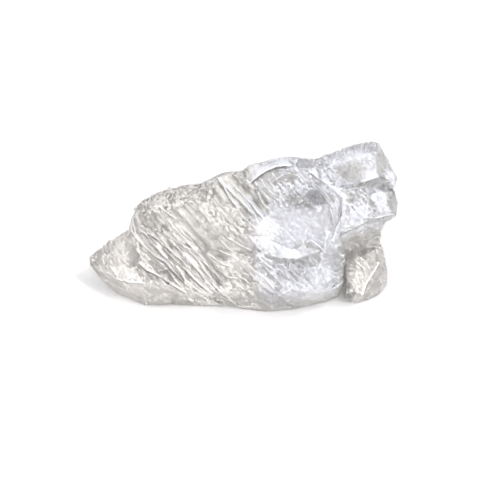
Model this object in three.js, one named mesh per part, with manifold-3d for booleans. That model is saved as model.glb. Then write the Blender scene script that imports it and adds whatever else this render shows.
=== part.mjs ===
// A rough petalite crystal, about 45 mm long, as one solid.
// Petalite splits along flat planes, so a broken piece is a cluster of blocks with stepped faces. Each block
// here is the convex hull of a few corners. The blocks are joined, wedges are split off the front faces along
// the cleavage, hollows are scooped out, flakes are broken off all round, and the foot is cut off flat.
// Millimetres, X along the crystal, Y from its front to its back, Z up.
import * as THREE from "three";
import { ConvexGeometry } from "three/addons/geometries/ConvexGeometry.js";
import { mergeVertices } from "three/addons/utils/BufferGeometryUtils.js";
import Module from "manifold-3d";

const wasm = await Module();
wasm.setup();

// Driving dimensions.
const LENGTH = 45; // the crystal's length along X
const DRAWN_LENGTH = 44.9; // the length of the outline below
const SIGHT_SLOPE = THREE.MathUtils.degToRad(30); // the outline is drawn square to a line that falls by this much
const CLEAVAGE_SLOPE = THREE.MathUtils.degToRad(48); // how steeply the cleavage runs down to the right there
const CLEAR = 1.4; // how far a cutter reaches out past the face that it cuts
const SUNK = 0.08; // how far below the face a wedge starts, so that no sliver is left
const WELD = 1e-4; // corners closer than this are one
const FLAKES = 150; // tries at breaking a flake off the sides, the back and the top
const FLAKE_DEPTH = 0.4; // the middle of a flake's floor, below the face
const FLAKE_LEAN = 0.85; // the least cosine between a face and the plane that a flake follows
const CHIPS = 110; // tries at breaking a chip off the front
const CHIP_DEPTH = 0.12;
const CHIP_TILT = THREE.MathUtils.degToRad(13);
const BLOCKY = 12; // from here to the right the crystal is blocky, and its edges run more steeply
const CROSS_SLOPE = THREE.MathUtils.degToRad(63);

// A corner on the drawn outline: x along it, rise up the drawing, back from the front of the foot.
const seen = (x, rise, back) =>
  new THREE.Vector3(
    x,
    back,
    (rise - back * Math.sin(SIGHT_SLOPE)) / Math.cos(SIGHT_SLOPE),
  );
// A corner that the drawing doesn't show, by its place.
const hidden = (x, back, height) => new THREE.Vector3(x, back, height);

// From the crystal towards the eye that the drawing is made for.
const SIGHT = new THREE.Vector3(0, -Math.cos(SIGHT_SLOPE), Math.sin(SIGHT_SLOPE));

// The blocks, from the pointed end to the blocky one.
const BLOCKS = {
  core: [
    hidden(-10, 6, 0),
    hidden(-10, 14, 0),
    hidden(-8, 9, 6),
    hidden(-6, 16, 9),
    hidden(0, 18, 9),
    hidden(2, 5, 0),
    hidden(13, 5, 0),
    hidden(12, 5, 4),
    hidden(14, 9, 8),
    hidden(12, 12, 13),
    hidden(17, 15.5, 13),
    hidden(17, 13, 10),
    hidden(17.5, 12, 1),
    hidden(17, 17, 4),
    hidden(3, 18, 2),
    hidden(10, 18, 2),
    hidden(16, 17, 12),
    hidden(3, 16, 12),
  ],
  blade: [
    seen(-22.4, 7.8, 8.0),
    seen(-22.3, 6.6, 7.6),
    seen(-20.8, 8.6, 8.6),
    seen(-19.2, 10.5, 8.8),
    seen(-16.7, 11.9, 9.0),
    seen(-12.0, 12.5, 7.0),
    seen(-17.8, 8.2, 5.4),
    seen(-15.2, 6.4, 2.9),
    seen(-20.3, 4.4, 6.6),
    seen(-19.0, 3.0, 5.4),
    seen(-17.2, 2.1, 4.2),
    seen(-14.3, 0.9, 1.8),
    seen(-12.4, 0.5, 1.0),
    seen(-9.5, 1.3, 2.4),
    seen(-19.6, 5.6, 4.6),
    seen(-16.6, 4.6, 2.2),
    seen(-12.4, 3.9, 0.4),
    seen(-9.0, 3.4, 0.6),
    hidden(-18.5, 12.4, 4.6),
    hidden(-17, 13, 0),
    hidden(-20.5, 10.5, 2.5),
    hidden(-10, 14, 0),
    hidden(-10, 15, 6),
  ],
  shoulder: [
    seen(-16.6, 12.6, 8.6),
    seen(-16.2, 14.4, 8.8),
    seen(-14.7, 16.1, 9.2),
    seen(-11.6, 17.6, 9.8),
    seen(-9.5, 18.4, 10.2),
    seen(-6.4, 18.5, 10.4),
    seen(-15.4, 12.6, 6.2),
    seen(-13.0, 15.0, 5.8),
    seen(-8.0, 15.8, 5.2),
    seen(2.4, 15.2, 4.6),
    seen(-15.5, 8.0, 3.4),
    seen(-10.6, 3.4, 0.8),
    seen(2.4, 9.6, 1.2),
    seen(1.8, 3.2, -0.7),
    seen(-11.0, 0.95, 1.8),
    seen(-8.6, 1.3, 2.5),
    seen(-4.8, 1.15, 2.2),
    seen(-1.0, 0.9, 1.6),
    seen(1.0, 0.6, 1.2),
    hidden(-13.5, 15, 8),
    hidden(-9, 18.5, 9),
    hidden(-12, 15.5, 0),
    hidden(-1, 18.6, 0),
    hidden(0, 19.2, 9.5),
  ],
  stack: [
    seen(-6.9, 18.3, 9.6),
    seen(-4.8, 19.2, 10.0),
    seen(-3.1, 20.0, 10.2),
    seen(-0.4, 20.4, 10.6),
    seen(1.0, 20.2, 10.8),
    seen(-3.4, 19.3, 7.4),
    seen(0.2, 19.6, 7.2),
    seen(-6.2, 14.6, 3.9),
    seen(-4.6, 12.4, 2.9),
    seen(1.6, 9.6, 0.6),
    seen(2.6, 12.4, 2.0),
    seen(3.4, 14.0, 3.0),
    seen(3.0, 15.6, 4.2),
    hidden(-4, 18.8, 9),
    hidden(3, 19.8, 11),
    hidden(-3, 17.5, 3),
    hidden(3, 18, 3),
  ],
  belly: [
    seen(-6.4, 8.8, 1.9),
    seen(-5.6, 3.2, 0.0),
    seen(-3.4, 1.1, 1.7),
    seen(-1.9, 0.9, 1.4),
    seen(0.7, 0.3, 0.6),
    seen(2.9, 0.2, 0.3),
    seen(-1.0, 3.4, -1.0),
    seen(2.6, 3.2, -0.6),
    seen(-2.4, 7.6, 0.6),
    seen(2.8, 8.2, 0.2),
    hidden(-4, 16, 0),
    hidden(3, 17, 0),
    hidden(-3, 16, 7),
    hidden(3, 17, 8),
  ],
  heart: [
    seen(1.5, 8.7, -0.5),
    seen(3.4, 13.3, 3.2),
    seen(4.0, 15.1, 4.8),
    seen(12.3, 15.2, 4.9),
    seen(12.7, 12.4, 2.9),
    seen(11.3, 8.6, -0.2),
    seen(6.5, 7.7, -1.2),
    seen(1.9, 5.4, -1.5),
    seen(5.8, 3.0, -2.0),
    seen(10.2, 3.3, -1.7),
    seen(13.5, 3.7, 0.8),
    seen(0.9, 0.3, 0.6),
    seen(3.1, 0.0, 0.0),
    seen(6.8, 0.3, 0.5),
    seen(9.8, 0.9, 1.6),
    seen(12.4, 1.5, 2.8),
    seen(13.8, 2.0, 3.8),
    seen(14.4, 4.0, 2.8),
    seen(14.4, 8.0, 2.8),
    seen(13.8, 10.6, 3.2),
    hidden(14, 18, 0),
    hidden(14, 19.5, 9),
    hidden(3, 19.8, 10),
    hidden(3, 18, 0),
    hidden(8, 20, 5),
  ],
  crown: [
    seen(-0.2, 20.3, 9.8),
    seen(0.6, 20.9, 10.0),
    seen(2.8, 21.5, 10.4),
    seen(4.4, 22.1, 10.6),
    seen(5.8, 22.3, 10.8),
    seen(7.1, 22.0, 10.8),
    seen(10.2, 22.0, 11.2),
    seen(1.1, 18.6, 7.2),
    seen(2.6, 19.8, 7.6),
    seen(4.4, 20.6, 8.0),
    seen(6.6, 20.9, 8.4),
    seen(10.4, 20.4, 8.2),
    seen(2.4, 16.6, 6.2),
    seen(3.4, 14.2, 4.6),
    seen(12.0, 15.0, 5.2),
    hidden(1, 19, 12.5),
    hidden(11, 19.8, 13),
    hidden(2, 18.5, 4),
    hidden(12, 18.5, 4),
  ],
  spine: [
    seen(10.4, 21.4, 9.6),
    seen(12.2, 21.6, 9.2),
    seen(14.0, 18.0, 5.6),
    seen(13.9, 12.4, 3.0),
    seen(12.8, 12.6, 2.6),
    seen(12.3, 15.6, 4.2),
    seen(11.2, 18.8, 6.4),
    seen(13.4, 10.2, 2.4),
    hidden(11, 15, 12),
    hidden(15, 15, 12),
    hidden(12, 12, 4),
    hidden(15, 12, 4),
  ],
  slab: [
    seen(9.8, 21.9, 11.5),
    seen(11.9, 22.6, 11.5),
    seen(13.8, 23.3, 12.0),
    seen(15.0, 23.6, 12.2),
    seen(16.3, 24.2, 12.4),
    seen(18.4, 24.6, 12.6),
    seen(19.4, 24.4, 12.6),
    seen(20.5, 22.2, 11.8),
    seen(22.3, 19.2, 10.8),
    seen(21.9, 18.1, 10.2),
    seen(12.2, 21.4, 8.8),
    seen(18.6, 22.8, 8.6),
    seen(19.2, 23.0, 9.4),
    seen(13.6, 18.0, 5.8),
    seen(18.6, 18.7, 5.8),
    seen(20.0, 19.0, 7.2),
    hidden(12, 19.6, 14.5),
    hidden(19.5, 18.8, 15.0),
    hidden(20, 18, 10),
    hidden(12, 19, 6),
  ],
  knee: [
    seen(13.9, 18.0, 6.2),
    seen(17.4, 18.4, 6.6),
    seen(13.8, 16.6, 4.4),
    seen(17.4, 17.4, 4.9),
    seen(13.8, 11.0, 1.8),
    seen(15.2, 14.6, 2.8),
    seen(17.3, 12.9, 2.9),
    seen(17.6, 15.8, 3.9),
    hidden(18, 14, 8),
    hidden(13, 17, 8),
    hidden(18, 12, 12),
    hidden(13, 12, 12),
  ],
  knuckle: [
    seen(17.2, 18.4, 6.8),
    seen(21.6, 17.6, 9.2),
    seen(22.4, 14.7, 8.4),
    seen(22.0, 13.8, 8.0),
    seen(20.4, 14.0, 5.2),
    seen(17.6, 13.0, 3.7),
    seen(18.2, 16.9, 5.0),
    seen(20.2, 17.1, 6.0),
    seen(20.5, 15.0, 5.2),
    seen(17.6, 16.0, 5.0),
    hidden(21, 15, 9),
    hidden(21.2, 12.6, 14),
    hidden(14, 18, 8),
    hidden(21, 14, 6.5),
    hidden(15, 12, 13),
  ],
  ledge: [
    seen(13.8, 10.8, 3.6),
    seen(16.6, 12.0, 4.4),
    seen(17.6, 13.0, 5.0),
    seen(20.8, 13.4, 7.6),
    seen(14.2, 9.8, 4.4),
    seen(16.9, 10.6, 5.4),
    seen(19.9, 11.6, 8.0),
    hidden(19.6, 14, 9),
    hidden(13.6, 14, 9),
  ],
  neck: [
    seen(15.0, 12.0, 7.6),
    seen(20.3, 12.4, 8.6),
    seen(19.8, 10.9, 8.8),
    seen(19.8, 9.6, 8.6),
    seen(15.0, 7.6, 6.6),
    hidden(19, 16, 8),
    hidden(19.5, 15.4, 2),
    hidden(14, 18, 2),
    hidden(14, 19, 8),
    seen(13.5, 12.0, 5.6),
    seen(13.5, 6.0, 5.0),
  ],
  foot: [
    seen(15.0, 7.8, 5.4),
    seen(16.4, 8.6, 5.8),
    seen(19.4, 9.1, 6.4),
    seen(20.0, 8.9, 6.8),
    seen(20.5, 7.7, 6.6),
    seen(21.0, 5.7, 6.6),
    seen(20.9, 3.6, 6.4),
    seen(20.0, 2.5, 4.8),
    seen(18.2, 1.7, 3.2),
    seen(16.2, 1.2, 2.2),
    seen(14.8, 1.6, 3.0),
    seen(14.9, 7.0, 4.4),
    seen(14.9, 3.2, 2.0),
    seen(16.2, 7.6, 4.3),
    seen(16.2, 2.8, 1.2),
    seen(18.9, 7.6, 5.0),
    seen(17.4, 2.6, 1.5),
    seen(19.6, 5.6, 4.4),
    hidden(20, 13, 0),
    hidden(20.5, 13.4, 4),
    hidden(14, 16, 0),
    hidden(14, 16, 5),
  ],
};

// The front faces that split into steps, each by three of its corners.
const FACES = {
  blade: [seen(-17.8, 8.2, 5.4), seen(-15.2, 6.4, 2.9), seen(-16.7, 11.9, 9.0)],
  shoulder: [seen(-15.5, 8.0, 3.4), seen(-10.6, 3.4, 0.8), seen(-8.0, 15.8, 5.2)],
  stack: [seen(-6.2, 14.6, 3.9), seen(1.6, 9.6, 0.6), seen(-3.4, 19.3, 7.4)],
};

// Wedges split off along the cleavage: [face, across the cleavage, along it from, to, width, depth].
// Along runs down to the right, and across up to the right.
const STEPS = [
  ["blade", -7.4, -17.6, -14.0, 0.8, 0.35],
  ["blade", -6.4, -19.0, -15.4, 0.9, 0.4],
  ["shoulder", -5.4, -15.8, -10.0, 1.2, 0.6],
  ["shoulder", -4.2, -19.0, -8.6, 1.2, 0.8],
  ["shoulder", -3.0, -19.4, -8.0, 1.0, 0.5],
  ["shoulder", -2.0, -18.0, -6.8, 1.0, 0.7],
  ["shoulder", -1.0, -17.0, -5.8, 0.9, 0.5],
  ["shoulder", -0.1, -15.8, -4.0, 0.9, 0.7],
  ["shoulder", 0.8, -15.2, -4.6, 0.9, 0.5],
  ["shoulder", 1.7, -17.8, -9.6, 1.0, 0.6],
  ["shoulder", 3.0, -19.6, -13.0, 0.9, 0.4],
  ["stack", 7.5, -16.8, -10.4, 1.1, 0.5],
  ["stack", 8.6, -16.6, -8.8, 1.3, 0.8],
  ["stack", 9.9, -16.4, -8.2, 1.1, 0.6],
  ["stack", 11.0, -16.0, -7.8, 1.4, 1.0],
];

// Parts of the drawing with no chips, where a face is smooth: [left, low, right, high].
const SMOOTH = [
  [0.6, 6.8, 13.6, 15.8],
  [13.2, 18.6, 18.8, 23],
  [-20, 0, -8, 3.6],
  [5.4, 14.8, 12.6, 18.8],
];

// The directions that flakes leave: the cleavage, two that cross it, and two that close the ends.
const PLANES = [
  new THREE.Vector3(0.66, 0.04, 0.75),
  new THREE.Vector3(-0.5, 0.75, 0.42),
  new THREE.Vector3(0.35, 0.9, 0.25),
  new THREE.Vector3(0.1, 0.55, 0.83),
  new THREE.Vector3(0.95, 0.3, -0.1),
  new THREE.Vector3(-0.75, 0.6, 0.28),
  new THREE.Vector3(-0.1, 0.98, -0.15),
  new THREE.Vector3(0.62, 0.75, -0.25),
  new THREE.Vector3(-0.65, 0.72, -0.25),
];

// A closed three.js geometry as a manifold-3d solid.
function solidOf(geometry) {
  const bare = geometry.index ? geometry.toNonIndexed() : geometry.clone();
  bare.deleteAttribute("normal");
  bare.deleteAttribute("uv");
  const merged = mergeVertices(bare, WELD);
  return new wasm.Manifold(
    new wasm.Mesh({
      numProp: 3,
      vertProperties: merged.attributes.position.array,
      triVerts: new Uint32Array(merged.index.array),
    }),
  );
}

const hull = (corners) => solidOf(new ConvexGeometry(corners));

function geometryOf(solid) {
  const { vertProperties, triVerts } = solid.getMesh();
  const geometry = new THREE.BufferGeometry();
  geometry.setAttribute("position", new THREE.BufferAttribute(vertProperties, 3));
  geometry.setIndex(new THREE.BufferAttribute(triVerts, 1));
  return geometry;
}

// The face's plane, with its normal towards the front.
function planeOf([a, b, c]) {
  const plane = new THREE.Plane().setFromCoplanarPoints(a, b, c);
  return plane.normal.y > 0 ? plane.negate() : plane;
}

// The point of a plane that lies so far across and along the cleavage on the drawing.
function onPlane(plane, across, along) {
  const sin = Math.sin(CLEAVAGE_SLOPE);
  const cos = Math.cos(CLEAVAGE_SLOPE);
  const x = across * sin + along * cos;
  const rise = across * cos - along * sin;
  const sight = new THREE.Line3(seen(x, rise, -50), seen(x, rise, 50));
  return plane.intersectLine(sight, new THREE.Vector3());
}

// A wedge that lifts off a face: nothing at its lower side, its full depth at its upper side.
function wedge([face, across, start, end, width, depth]) {
  const plane = planeOf(FACES[face]);
  const out = plane.normal;
  const from = onPlane(plane, across, start);
  const along = onPlane(plane, across, end).sub(from);
  const up = new THREE.Vector3().crossVectors(out, along).normalize().multiplyScalar(width);
  const at = (share, side, lift) =>
    from
      .clone()
      .addScaledVector(along, share)
      .addScaledVector(up, side)
      .addScaledVector(out, lift);
  return hull([
    at(0, 0, CLEAR),
    at(1, 0, CLEAR),
    at(0, 1, CLEAR),
    at(1, 1, CLEAR),
    at(0.02, 0.1, -SUNK),
    at(0.98, 0.1, -SUNK),
    at(0.02, 0.9, -SUNK),
    at(0.98, 0.9, -SUNK),
    at(0.15, 1, -depth),
    at(0.85, 1, -depth),
  ]);
}

// The hollow under the crown's rim, open to the front: a deep pocket on the right, a shallow one on the left.
function hollow() {
  const pocket = (rim, back, deepest) =>
    hull([
      ...rim.map(([x, rise]) => seen(x, rise, -2)),
      ...rim.map(([x, rise]) => seen(x, rise, back)),
      deepest,
    ]);
  const right = [
    [7.8, 15.4],
    [8.2, 16.6],
    [9.9, 17.9],
    [11.0, 17.3],
    [12.2, 15.4],
  ];
  const left = [
    [5.9, 15.5],
    [6.3, 17.2],
    [7.4, 17.7],
    [9.0, 17.0],
    [8.8, 15.5],
  ];
  return pocket(right, 6.9, seen(10.6, 16.6, 9.2)).add(pocket(left, 6.5, seen(7.2, 16.2, 7.8)));
}

// A box that breaks a piece off at a point: its floor faces out, and its long side lies along the edge given.
function breakOff(point, out, edge, long, wide, depth) {
  const box = new THREE.BoxGeometry(long, wide, CLEAR + depth);
  box.translate(0, 0, (CLEAR - depth) / 2);
  const side = edge.clone().projectOnPlane(out).normalize();
  const basis = new THREE.Matrix4().makeBasis(side, out.clone().cross(side), out);
  return solidOf(box.applyMatrix4(basis.setPosition(point)));
}

// Where a ray that comes from outside first meets the crystal.
function meet(mesh, middle, towards) {
  const start = middle.clone().addScaledVector(towards, 60);
  return new THREE.Raycaster(start, towards.clone().negate()).intersectObject(mesh)[0];
}

// A flake off the sides or the back, whose floor follows the nearest of the planes.
function flake(mesh, random) {
  const turn = 2 * Math.PI * random();
  const towards = new THREE.Vector3(Math.cos(turn), Math.sin(turn), 1.4 * random() - 0.4);
  const middle = hidden(38 * (random() - 0.5), 9, 3 + 8 * random());
  const long = 2.5 + 4 * random();
  const wide = 1.2 + 2.4 * random();
  const depth = FLAKE_DEPTH * (0.5 + random());
  towards.normalize();
  if (towards.dot(SIGHT) > 0.15) return null;
  const hit = meet(mesh, middle, towards);
  if (!hit || hit.face.normal.dot(SIGHT) > 0.2) return null;
  const near = PLANES.map((plane) => plane.clone().normalize());
  near.sort((a, b) => b.dot(hit.face.normal) - a.dot(hit.face.normal));
  if (near[0].dot(hit.face.normal) < FLAKE_LEAN) return null;
  const edge = new THREE.Vector3().crossVectors(near[0], PLANES[near[0].dot(PLANES[0]) > 0.95 ? 1 : 0]);
  return breakOff(hit.point, near[0], edge, long, wide, depth);
}

// A chip off the front: shallow, tilted a little, and long along the cleavage.
function chip(mesh, random) {
  const x = 42 * (random() - 0.5);
  const rise = 24 * random();
  const slope = x > BLOCKY ? CROSS_SLOPE : CLEAVAGE_SLOPE;
  const turn = slope + 0.25 * (random() - 0.5);
  const tilt = CHIP_TILT * (random() > 0.35 ? 1 : -1);
  const long = 1.4 + 2.8 * random();
  const wide = 0.5 + 0.8 * random();
  const inside = ([left, low, right, high]) => x > left && x < right && rise > low && rise < high;
  if (SMOOTH.some(inside)) return null;
  const hit = meet(mesh, seen(x, rise, 0), SIGHT);
  if (!hit) return null;
  const edge = seen(Math.cos(turn), -Math.sin(turn), -0.5 * Math.sin(turn));
  const out = hit.face.normal.clone().applyAxisAngle(edge.normalize(), tilt);
  return breakOff(hit.point, out, edge, long, wide, CHIP_DEPTH);
}

// A list of numbers from 0 to 1 that is the same each time.
function dice(seed) {
  THREE.MathUtils.seededRandom(seed);
  return () => THREE.MathUtils.seededRandom();
}

let crystal = null;
for (const corners of Object.values(BLOCKS)) {
  crystal = crystal ? crystal.add(hull(corners)) : hull(corners);
}
for (const step of STEPS) {
  crystal = crystal.subtract(wedge(step));
}
crystal = crystal.subtract(hollow());

const whole = new THREE.Mesh(geometryOf(crystal));
const random = dice(13);
const breaks = [...Array(FLAKES).fill(flake), ...Array(CHIPS).fill(chip)];
for (const part of breaks) {
  const cutter = part(whole, random);
  if (cutter) crystal = crystal.subtract(cutter);
}

const below = new THREE.BoxGeometry(100, 100, 20).translate(0, 0, -10);
crystal = crystal.subtract(solidOf(below));

const geometry = geometryOf(crystal);
geometry.scale(LENGTH / DRAWN_LENGTH, LENGTH / DRAWN_LENGTH, LENGTH / DRAWN_LENGTH);
geometry.computeBoundingBox();
const { min, max } = geometry.boundingBox;
geometry.translate(-(min.x + max.x) / 2, -(min.y + max.y) / 2, -min.z);

const material = new THREE.MeshStandardMaterial({
  color: 0xe6e4e0,
  roughness: 0.15,
  metalness: 0,
});
const mesh = new THREE.Mesh(geometry, material);
mesh.name = "crystal";

const group = new THREE.Group();
group.add(mesh);
export default group;
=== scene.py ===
# %% [markdown]
# # A rough petalite crystal
# Petalite grows as one clear to milky body that splits along flat planes, so a broken piece is a stack of
# blocks and steps with a glassy lustre. It could be sculpted by hand. Here the solid model gives the blocks
# and the large steps, and nodes add the fine steps, the ridges and the clear and frosted skin, because the
# same few rules then hold from every side. On the front the skin also carries painted highlights and
# painted shade.

import math

import bmesh
import bpy
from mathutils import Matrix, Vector


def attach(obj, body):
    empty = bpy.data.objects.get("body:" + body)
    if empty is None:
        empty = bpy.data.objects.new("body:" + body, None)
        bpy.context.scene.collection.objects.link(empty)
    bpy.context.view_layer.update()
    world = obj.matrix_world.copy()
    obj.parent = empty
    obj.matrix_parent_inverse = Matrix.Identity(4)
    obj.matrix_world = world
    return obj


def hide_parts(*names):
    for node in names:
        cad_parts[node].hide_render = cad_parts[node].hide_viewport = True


MM = 0.001  # the model is in metres
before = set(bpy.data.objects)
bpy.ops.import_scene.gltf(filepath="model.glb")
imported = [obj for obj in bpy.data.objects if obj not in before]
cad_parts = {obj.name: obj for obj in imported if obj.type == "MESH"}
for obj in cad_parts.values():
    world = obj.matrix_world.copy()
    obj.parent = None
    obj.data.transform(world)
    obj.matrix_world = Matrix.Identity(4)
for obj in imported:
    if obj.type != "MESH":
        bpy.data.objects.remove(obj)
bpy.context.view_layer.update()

# %% [markdown]
# ## Nodes as expressions
# Both the mesh and the material are worked out with nodes, and long node recipes are hard to read when each
# link takes a line. A socket wrapped in a small class can be added and multiplied like a number. Each sum
# adds one Math node.

# %% A wrapper for node sockets
class Socket:
    """One output of a node, which can be used in arithmetic with numbers and other sockets."""

    def __init__(self, nodes, output):
        self.nodes, self.output = nodes, output

    def math(self, operation, *others, clamp=False):
        inputs = {0: self, **dict(enumerate(others, 1))}
        return self.nodes.add("ShaderNodeMath", {"operation": operation, "use_clamp": clamp}, inputs)

    def __add__(self, other):
        return self.math("ADD", other)

    def __sub__(self, other):
        return self.math("SUBTRACT", other)

    def __rsub__(self, other):
        return self.math("MULTIPLY", -1.0) + other

    def __mul__(self, other):
        return self.math("MULTIPLY", other)

    def __truediv__(self, other):
        return self.math("DIVIDE", other)

    __radd__ = __add__
    __rmul__ = __mul__

    def clamped(self):
        return self.math("ADD", 0.0, clamp=True)

    def floor(self):
        return self.math("FLOOR")

    def fraction(self):
        return self.math("FRACT")


print("a socket understands + - * / and clamped(), floor(), fraction()")

# %% [markdown]
# ## One method for every other node
# A node is its type, its settings and what goes into its sockets. One method takes all three, and a few
# short ones on top of it name the nodes that are used again and again: noise, random numbers and soft
# steps.

# %% A helper that adds nodes to a tree
class Nodes:
    """A node tree that takes each new node, its settings and its inputs in one call."""

    def __init__(self, tree):
        self.tree = tree

    def add(self, kind, settings=None, inputs=None, out=0):
        node = self.tree.nodes.new(kind)
        for name, value in (settings or {}).items():
            setattr(node, name, value)
        for key, value in (inputs or {}).items():
            if isinstance(value, Socket):
                self.tree.links.new(value.output, node.inputs[key])
            else:
                node.inputs[key].default_value = value
        return Socket(self, node.outputs[out])

    def vector(self, operation, a, b=None, out=0, **more):
        inputs = {0: a, **({} if b is None else {1: b}), **more}
        return self.add("ShaderNodeVectorMath", {"operation": operation}, inputs, out)

    def dot(self, a, b):
        return self.vector("DOT_PRODUCT", a, tuple(b), out=1)

    def combine(self, x, y, z):
        return self.add("ShaderNodeCombineXYZ", None, {0: x, 1: y, 2: z})

    def noise(self, vector, scale, detail=2.0, rough=0.5):
        inputs = {"Vector": vector, "Scale": scale, "Detail": detail, "Roughness": rough}
        return self.add("ShaderNodeTexNoise", None, inputs)

    def named(self, name):
        """A number that was worked out for every corner of the mesh and kept under a name."""
        kind = {"attribute_name": name, "attribute_type": "GEOMETRY"}
        return self.add("ShaderNodeAttribute", kind, None, 2)

    def random(self, vector):
        return self.add("ShaderNodeTexWhiteNoise", {"noise_dimensions": "3D"}, {"Vector": vector})

    def step(self, value, low, high):
        """A soft step: 0 at low, 1 at high."""
        inputs = {"Value": value, "From Min": low, "From Max": high}
        return self.add("ShaderNodeMapRange", {"interpolation_type": "SMOOTHSTEP"}, inputs)

    def blend(self, amount, a, b):
        """One colour turned into another."""
        settings = {"data_type": "RGBA", "clamp_factor": True}
        return self.add("ShaderNodeMix", settings, {0: amount, 6: (*a, 1.0), 7: (*b, 1.0)}, 2)


print("short forms:", [name for name in vars(Nodes) if not name.startswith("_")])

# %% [markdown]
# ## Directions on the stone
# Petalite has one perfect cleavage, so every fine step on the stone lies along one plane. Three directions
# set it: square to the plates, down along them, and into the stone. They are easiest to give on a drawing
# of the stone's front, seen from 30 degrees above: so far along it, so far up the drawing and so far out of
# it.

# %% Directions
SIGHT = math.radians(30)  # how far above the table the front is seen from
FRONT_ROW = 9.0  # mm from the middle of the stone to the front of its foot


def turned(along, rise, out):
    """A direction given on the drawing of the front, in the model's frame."""
    s, c = math.sin(SIGHT), math.cos(SIGHT)
    return Vector((along, rise * s - out * c, rise * c + out * s)).normalized()


STACK = turned(0.68, 0.62, 0.39)  # square to the cleavage
GRAIN = turned(0.67, -0.74, 0.0)  # down along the steps
INWARD = STACK.cross(GRAIN)
OUTWARD = turned(0, 0, 1)  # towards whoever looks at the drawing
print("square to the cleavage:", [round(x, 2) for x in STACK])

# %% [markdown]
# ## Places on the drawing
# The same drawing places each feature of the front. A place is its x in the model and its height up the
# drawing, both in millimetres, so a list of spots reads like a map of the stone.

# %% Places and soft oval spots
def drawn(nodes, place):
    """How far along the stone and up the drawing a place is, in millimetres."""
    along = nodes.dot(place, (1, 0, 0))
    rise = nodes.dot(place, (0, math.sin(SIGHT), math.cos(SIGHT))) + FRONT_ROW * math.sin(SIGHT)
    return along, rise


SPOT_EDGE, SPOT_CORE = 1.3, 0.5  # a spot fades between these parts of its radius, squared


def spots(along, rise, table):
    """Soft oval spots: each is at (x, rise) with two radii, a turn in degrees and a strength."""
    total = None
    for x, y, wide, high, turn, strength in table:
        s, c = math.sin(math.radians(turn)), math.cos(math.radians(turn))
        a = ((along - x) * (c / wide) + (rise - y) * (s / wide)).math("POWER", 2.0)
        b = ((along - x) * (-s / high) + (rise - y) * (c / high)).math("POWER", 2.0)
        spot = along.nodes.step(a + b, SPOT_EDGE, SPOT_CORE) * strength
        total = spot if total is None else total.math("MAXIMUM", spot)
    return total


print("a spot fades from", round(SPOT_CORE**0.5, 2), "to", round(SPOT_EDGE**0.5, 2), "of its radius")

# %% [markdown]
# ## Cleavage plates
# Where cleavage is perfect, a break steps from plate to plate, and each plate ends at its own crack. A
# plate could be a thin box placed by hand, but there are thousands. Here space is cut into layers square to
# the cleavage, each layer into lengths, and each piece gets a random lift and a random slope.

# %% Cleavage plates
SWAY, RIPPLE = 0.9, 0.1  # mm that a layer wanders, slowly and quickly
LEAN = 0.75  # slopes run from minus this to one minus this, so most plates lean the same way
DEEPER = 1.3  # a plate reaches this much further into the stone than along it


def plates(nodes, place, thick, long, seed):
    """Thin plates stacked along the cleavage, broken into lengths: a random lift and a slope for each."""
    sway = nodes.noise(place, 0.16, 1.0) * SWAY + nodes.noise(place, 0.9, 1.0) * RIPPLE
    layers = (nodes.dot(place, STACK) + sway) / thick + seed
    layer = layers.floor()
    run = nodes.dot(place, GRAIN) / long + nodes.random(nodes.combine(layer, seed, 0.0)) * 7.0
    deep = nodes.dot(place, INWARD) / (long * DEEPER) + nodes.random(nodes.combine(layer, seed, 5.0)) * 5.0
    piece = nodes.combine(layer, run.floor(), deep.floor() + seed)
    slope = nodes.random(nodes.vector("SCALE", piece, Scale=1.7)) - LEAN
    across = (layers.fraction() - 0.5) * slope * thick
    onward = (run.fraction() - 0.5) * (nodes.random(nodes.vector("SCALE", piece, Scale=2.3)) - 0.5) * thick
    return nodes.random(piece) - 0.5, across + onward * 0.7


print("plates wander by up to", SWAY + RIPPLE, "mm")

# %% [markdown]
# ## Small facets
# Across the cleavage petalite breaks unevenly, into small tilted facets that catch the light one by one. A
# Voronoi texture cuts space into cells. The slope of each is its random colour, measured from its centre.

# %% Small facets
CELL_RUN, CELL_STACK, CELL_DEEP = 0.6, 1.3, 0.9  # cells to one facet size: along, across and into the plates


def facets(nodes, place, size, seed):
    """Small flat facets with random slopes, a little longer along the cleavage."""
    stretched = nodes.combine(
        nodes.dot(place, GRAIN) * (CELL_RUN / size) + seed,
        nodes.dot(place, STACK) * (CELL_STACK / size),
        nodes.dot(place, INWARD) * (CELL_DEEP / size),
    )
    cells = nodes.tree.nodes.new("ShaderNodeTexVoronoi")
    cells.inputs["Scale"].default_value = 1.0
    nodes.tree.links.new(stretched.output, cells.inputs["Vector"])
    lean = nodes.vector("SUBTRACT", Socket(nodes, cells.outputs["Color"]), (0.5, 0.5, 0.5))
    away = nodes.vector("SUBTRACT", stretched, Socket(nodes, cells.outputs["Position"]))
    pick = nodes.random(Socket(nodes, cells.outputs["Color"]))
    return nodes.vector("DOT_PRODUCT", lean, away, out=1) * size, pick


print("a facet is", round(CELL_STACK / CELL_RUN, 1), "times longer along the cleavage than across it")

# %% [markdown]
# ## Clean faces and stepped faces
# No two parts of the stone broke alike. Clean faces are calm windows into it, and others carry close steps.
# A painted mask would do this, but it would need an image, while soft spots on the drawing need only a list.

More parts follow.
